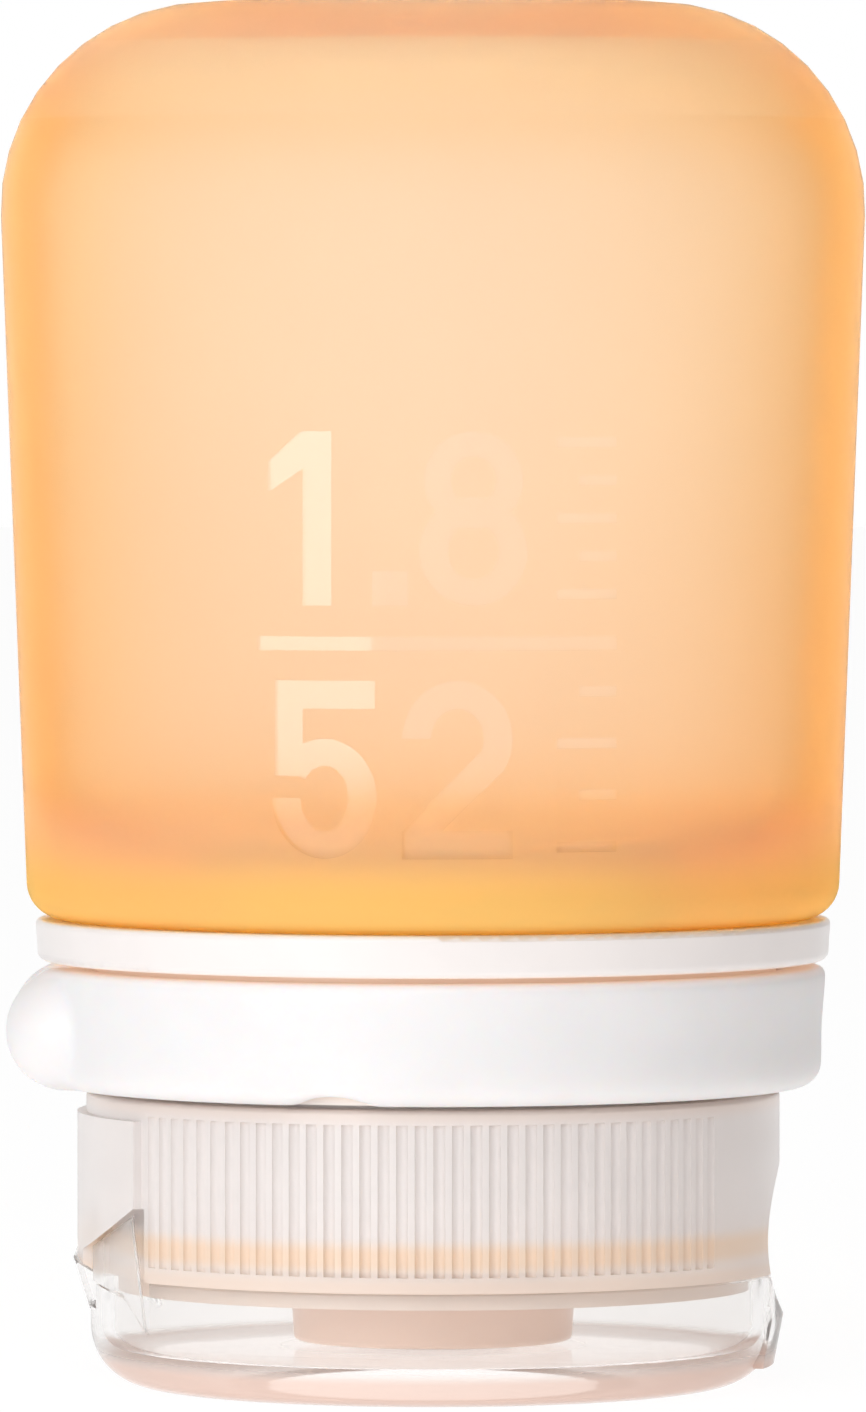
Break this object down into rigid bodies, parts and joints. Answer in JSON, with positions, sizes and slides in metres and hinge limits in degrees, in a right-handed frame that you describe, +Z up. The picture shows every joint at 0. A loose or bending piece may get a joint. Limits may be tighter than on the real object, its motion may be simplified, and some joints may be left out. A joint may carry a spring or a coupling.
{
  "type": "travel squeeze bottle",
  "caption": "Soft translucent squeeze bottle on a hard neck collar, with a hinged carry loop, a ribbed screw cap and a snap-hinged flip lid that it stands on.",
  "frame": {"origin": "centre of the closed lid's flat outer face, which the bottle stands on upside down", "axes": "+Z up the bottle's axis towards its base, -X to the lid's hinge and the carry loop's hinge, +X to the thumb scoop, -Y to the front"},
  "size_m": [0.0474, 0.0474, 0.076],
  "materials": {
    "soft_silicone": "frosted translucent orange silicone rubber, satin skin",
    "frosted_plastic": "frosted natural polypropylene, translucent",
    "frosted_cap": "frosted natural polypropylene, translucent",
    "white_loop": "milky white flexible plastic, satin",
    "white_pin": "milky white moulded plastic",
    "valve_silicone": "clear soft silicone",
    "retainer_plastic": "natural moulded plastic"
  },
  "bodies": {
    "cap": {"cap_base": "frosted_cap", "slit_valve": "valve_silicone"},
    "retainer": {"valve_retainer": "retainer_plastic"},
    "bottle": {"silicone_bottle": "soft_silicone", "neck_collar": "frosted_plastic", "loop_pin": "white_pin"},
    "loop": {"carry_loop": "white_loop"},
    "lid": {"flip_lid": "frosted_cap"},
    "arm_front": {"hinge_arm_front": "frosted_cap"},
    "arm_back": {"hinge_arm_back": "frosted_cap"}
  },
  "joints": [
    {"name": "bottle_turn", "type": "hinge", "parent": "cap", "child": "retainer", "pos_m": [0, 0, 0], "axis": [0, 0, 1], "range_deg": [0, 540]},
    {"name": "bottle_lift", "type": "slide", "parent": "retainer", "child": "bottle", "axis": [0, 0, 1], "range_m": [0, 0.0063]},
    {"name": "lid_hinge", "type": "hinge", "parent": "cap", "child": "lid", "pos_m": [-0.0197, 0, 0.00715], "axis": [0, 1, 0], "range_deg": [0, 180]},
    {"name": "arm_front_fold", "type": "hinge", "parent": "cap", "child": "arm_front", "pos_m": [-0.0197, -0.004, 0.00715], "axis": [-0.4427, 0.8248, -0.3516], "range_deg": [0, 108.5]},
    {"name": "arm_back_fold", "type": "hinge", "parent": "cap", "child": "arm_back", "pos_m": [-0.0197, 0.004, 0.00715], "axis": [0.4427, 0.8248, 0.3516], "range_deg": [0, 108.5]},
    {"name": "loop_swing", "type": "hinge", "parent": "bottle", "child": "loop", "pos_m": [-0.02005, 0, 0.01978], "axis": [0, 1, 0], "range_deg": [0, 180], "deforming": ["carry_loop"]}
  ],
  "couplings": [
    {"joint": "bottle_lift", "follows": "bottle_turn", "m_per_rad": 0.0006684},
    {"joint": "arm_front_fold", "follows": "lid_hinge", "ratio": 0.6},
    {"joint": "arm_back_fold", "follows": "lid_hinge", "ratio": 0.6}
  ]
}
